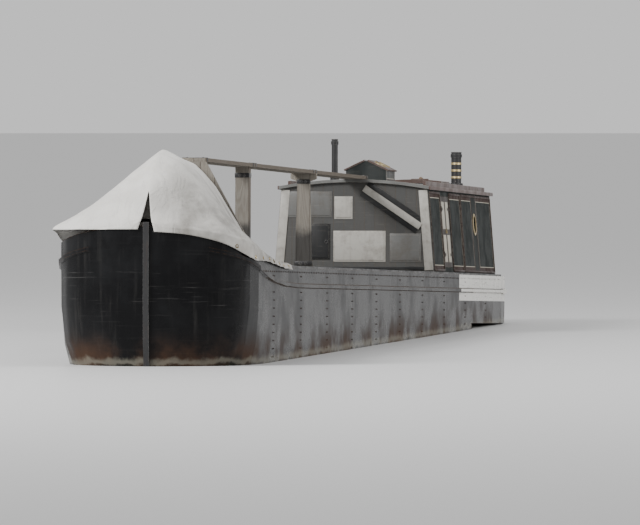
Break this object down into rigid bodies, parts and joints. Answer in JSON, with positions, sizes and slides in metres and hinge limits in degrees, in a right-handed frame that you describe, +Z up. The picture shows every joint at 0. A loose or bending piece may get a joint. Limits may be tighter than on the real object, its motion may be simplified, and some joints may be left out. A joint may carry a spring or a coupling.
{
  "type": "narrowboat",
  "caption": "Full-length open-hold working motor narrowboat with a canvas-covered fore end, mast and top planks, engine room, cabin, counter stern, rudder and propeller.",
  "frame": {"origin": "middle of the boat's overall box, at the base of the flat bottom", "axes": "+X to the bow, +Y to port, +Z up; the hull's centre plane is y = 0"},
  "size_m": [21.708, 2.16, 2.9],
  "materials": {
    "hull_black": "black bitumen paint, satin, scuffed",
    "hull_worn": "black bitumen paint weathered to grey, dusty and scraped",
    "hull_bottom": "bitumen paint under water, dull, lightly fouled",
    "black_iron": "black paint worn to bright metal at the edges",
    "rope": "tarred and weathered rope work",
    "canvas": "white cotton canvas, matte, creased, water stained at the foot",
    "timber": "bare weathered oak, grey, with grain and splits",
    "painted_wood": "dark coach paint over boards, gone dull",
    "door_paint": "dark coach paint with pale borders",
    "rail_paint": "pale paint, chipped",
    "roof_paint": "grey paint over canvas-covered boards, matte",
    "engine_paint": "dull enamel, oily",
    "bronze": "cast bronze, dull"
  },
  "bodies": {
    "hull": {"bottom_plate": "hull_bottom", "fore_end": "hull_black", "stern_swim": "hull_black", "uxter_plate": "hull_black", "counter": "hull_black", "stem_bar": "hull_black", "skeg": "hull_black", "hold_side_port": "hull_worn", "cabin_hull_port": "hull_worn", "gunwale_port": "hull_black", "hold_side_starboard": "hull_worn", "cabin_hull_starboard": "hull_worn", "gunwale_starboard": "hull_black", "bow_stud": "black_iron", "canvas_cover": "canvas", "fore_frame": "timber", "cratch_board": "timber", "hold_floor": "timber", "mast": "timber", "mast_beam": "timber", "plank_stand": "timber", "stand_beam": "timber", "top_plank_fore": "timber", "top_plank_middle": "timber", "top_plank_aft": "timber", "hold_bulkhead": "hull_worn", "cabin_front": "painted_wood", "middle_bulkhead": "painted_wood", "rear_bulkhead": "painted_wood", "cabin_wall_port": "painted_wood", "cabin_wall_starboard": "painted_wood", "handrail_port": "rail_paint", "handrail_starboard": "rail_paint", "stern_stud_port": "black_iron", "stern_stud_starboard": "black_iron", "cabin_roof": "roof_paint", "pigeon_box": "painted_wood", "chimney": "black_iron", "exhaust_stack": "black_iron", "engine_room_floor": "timber", "engine_block": "engine_paint", "cabin_locker_port": "timber", "cabin_locker_starboard": "timber", "range": "black_iron", "cabin_steps": "timber", "stern_fender": "rope"},
    "side_door_port_fore": {"side_door_port_fore": "door_paint"},
    "side_door_port_aft": {"side_door_port_aft": "door_paint"},
    "side_door_starboard_fore": {"side_door_starboard_fore": "door_paint"},
    "side_door_starboard_aft": {"side_door_starboard_aft": "door_paint"},
    "rear_door_port": {"rear_door_port": "door_paint"},
    "rear_door_starboard": {"rear_door_starboard": "door_paint"},
    "slide_hatch": {"slide_hatch": "roof_paint"},
    "pigeon_lid_port": {"pigeon_lid_port": "door_paint"},
    "pigeon_lid_starboard": {"pigeon_lid_starboard": "door_paint"},
    "rudder": {"rudder": "hull_bottom", "tiller": "black_iron"},
    "propeller": {"propeller": "bronze"}
  },
  "joints": [
    {"name": "side_door_port_fore_swing", "type": "hinge", "parent": "hull", "child": "side_door_port_fore", "pos_m": [-4.476, 0.96997, 1.31401], "axis": [0, 0.0805, -0.9968], "range_deg": [0, 170]},
    {"name": "side_door_port_aft_swing", "type": "hinge", "parent": "hull", "child": "side_door_port_aft", "pos_m": [-5.152, 0.96997, 1.31401], "axis": [0, -0.0805, 0.9968], "range_deg": [0, 170]},
    {"name": "rear_door_port_swing", "type": "hinge", "parent": "hull", "child": "rear_door_port", "pos_m": [-8.982, 0.298, 1.35], "axis": [0, 0, -1], "range_deg": [0, 170]},
    {"name": "pigeon_lid_port_lift", "type": "hinge", "parent": "hull", "child": "pigeon_lid_port", "pos_m": [-4.774, 0.0197, 2.6573], "axis": [1, 0, 0], "range_deg": [0, 60]},
    {"name": "side_door_starboard_fore_swing", "type": "hinge", "parent": "hull", "child": "side_door_starboard_fore", "pos_m": [-4.476, -0.96997, 1.31401], "axis": [0, 0.0805, 0.9968], "range_deg": [0, 170]},
    {"name": "side_door_starboard_aft_swing", "type": "hinge", "parent": "hull", "child": "side_door_starboard_aft", "pos_m": [-5.152, -0.96997, 1.31401], "axis": [0, -0.0805, -0.9968], "range_deg": [0, 170]},
    {"name": "rear_door_starboard_swing", "type": "hinge", "parent": "hull", "child": "rear_door_starboard", "pos_m": [-8.982, -0.298, 1.35], "axis": [0, 0, 1], "range_deg": [0, 170]},
    {"name": "pigeon_lid_starboard_lift", "type": "hinge", "parent": "hull", "child": "pigeon_lid_starboard", "pos_m": [-4.774, -0.0197, 2.6573], "axis": [-1, 0, 0], "range_deg": [0, 60]},
    {"name": "slide_hatch_slide", "type": "slide", "parent": "hull", "child": "slide_hatch", "axis": [1, 0, 0], "range_m": [0, 0.6]},
    {"name": "rudder_steer", "type": "hinge", "parent": "hull", "child": "rudder", "pos_m": [-10.174, 0, 1], "axis": [0, 0, 1], "range_deg": [-60, 60]},
    {"name": "propeller_spin", "type": "hinge", "parent": "hull", "child": "propeller", "pos_m": [-9.934, 0, 0.36], "axis": [1, 0, 0], "continuous": true}
  ]
}
